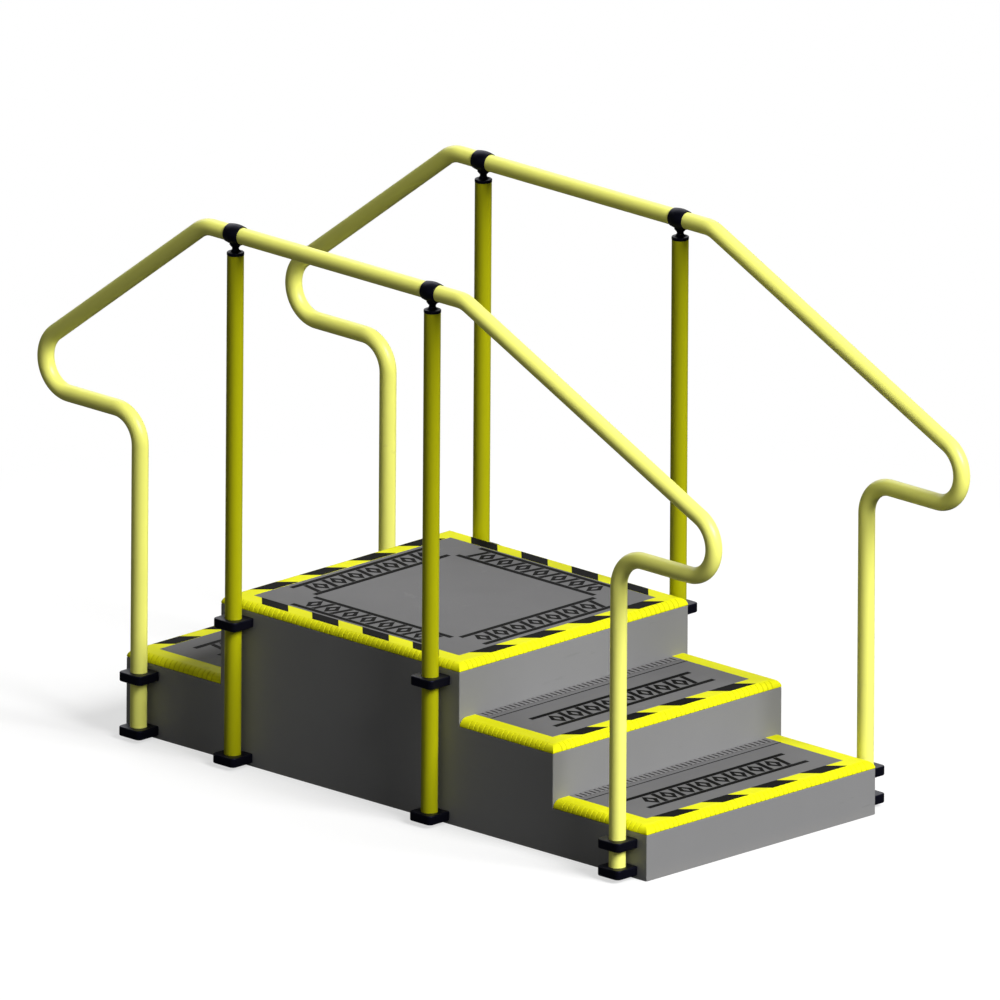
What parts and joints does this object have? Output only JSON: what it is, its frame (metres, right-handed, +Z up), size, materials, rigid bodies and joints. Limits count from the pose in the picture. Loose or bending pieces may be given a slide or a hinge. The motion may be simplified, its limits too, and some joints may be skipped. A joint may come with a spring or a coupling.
{
  "type": "rehabilitation training stairs",
  "caption": "Free-standing therapy steps: a platform with a low flight and a steeper flight in line, and a bent tube handrail on posts along each side.",
  "frame": {"origin": "on the floor, under the middle of the stairs", "axes": "+X along the stairs towards the three-rise flight, +Y across the stairs towards the far side panel, +Z up"},
  "size_m": [2.3535, 0.952, 1.4042],
  "materials": {
    "panel_paint": "satin dark grey paint on board",
    "riser_paint": "satin grey paint on board",
    "plywood": "bare plywood",
    "mat_rubber": "grey sheet rubber with a printed band",
    "strip_rubber": "grey cross-grooved rubber",
    "trim_rubber": "yellow moulded nosing with black hazard marks",
    "rail_paint": "pale yellow powder coat",
    "post_paint": "olive yellow powder coat",
    "black_nylon": "moulded black nylon"
  },
  "bodies": {
    "stairs": {"side_panel_near": "panel_paint", "side_panel_far": "panel_paint", "riser_right_1": "riser_paint", "riser_right_2": "riser_paint", "riser_right_3": "riser_paint", "riser_left_1": "riser_paint", "riser_left_2": "riser_paint", "cross_batten_right_1": "plywood", "cross_batten_right_2": "plywood", "cross_batten_left_1": "plywood", "platform_joist_1": "plywood", "platform_joist_2": "plywood", "tread_board_right_1": "plywood", "tread_board_right_2": "plywood", "tread_board_left_1": "plywood", "platform_board": "plywood", "edge_trim_right_1": "trim_rubber", "edge_trim_right_2": "trim_rubber", "edge_trim_left_1": "trim_rubber", "edge_trim_platform": "trim_rubber", "tread_mat_right_1": "mat_rubber", "tread_mat_right_2": "mat_rubber", "tread_mat_left_1": "mat_rubber", "platform_mat": "mat_rubber", "ribbed_strip_right_1": "strip_rubber", "ribbed_strip_right_2": "strip_rubber", "ribbed_strip_left_1": "strip_rubber", "clamp_lower_near_left_end": "black_nylon", "clamp_lower_near_platform_left": "black_nylon", "clamp_lower_near_platform_right": "black_nylon", "clamp_lower_near_right_end": "black_nylon", "clamp_lower_far_left_end": "black_nylon", "clamp_lower_far_platform_left": "black_nylon", "clamp_lower_far_platform_right": "black_nylon", "clamp_lower_far_right_end": "black_nylon", "clamp_upper_near_left_end": "black_nylon", "clamp_upper_near_platform_left": "black_nylon", "clamp_upper_near_platform_right": "black_nylon", "clamp_upper_near_right_end": "black_nylon", "clamp_upper_far_left_end": "black_nylon", "clamp_upper_far_platform_left": "black_nylon", "clamp_upper_far_platform_right": "black_nylon", "clamp_upper_far_right_end": "black_nylon"},
    "handrail_set_near": {"handrail_near": "rail_paint", "post_near_left": "post_paint", "post_near_right": "post_paint", "post_cap_near_left": "black_nylon", "post_cap_near_right": "black_nylon", "collar_near_left": "black_nylon", "collar_near_right": "black_nylon"},
    "handrail_set_far": {"handrail_far": "rail_paint", "post_far_left": "post_paint", "post_far_right": "post_paint", "post_cap_far_left": "black_nylon", "post_cap_far_right": "black_nylon", "collar_far_left": "black_nylon", "collar_far_right": "black_nylon"}
  },
  "joints": [
    {"name": "near_handrail_lift", "type": "slide", "parent": "stairs", "child": "handrail_set_near", "axis": [0, 0, 1], "range_m": [0, 0.4]},
    {"name": "far_handrail_lift", "type": "slide", "parent": "stairs", "child": "handrail_set_far", "axis": [0, 0, 1], "range_m": [0, 0.4]}
  ]
}
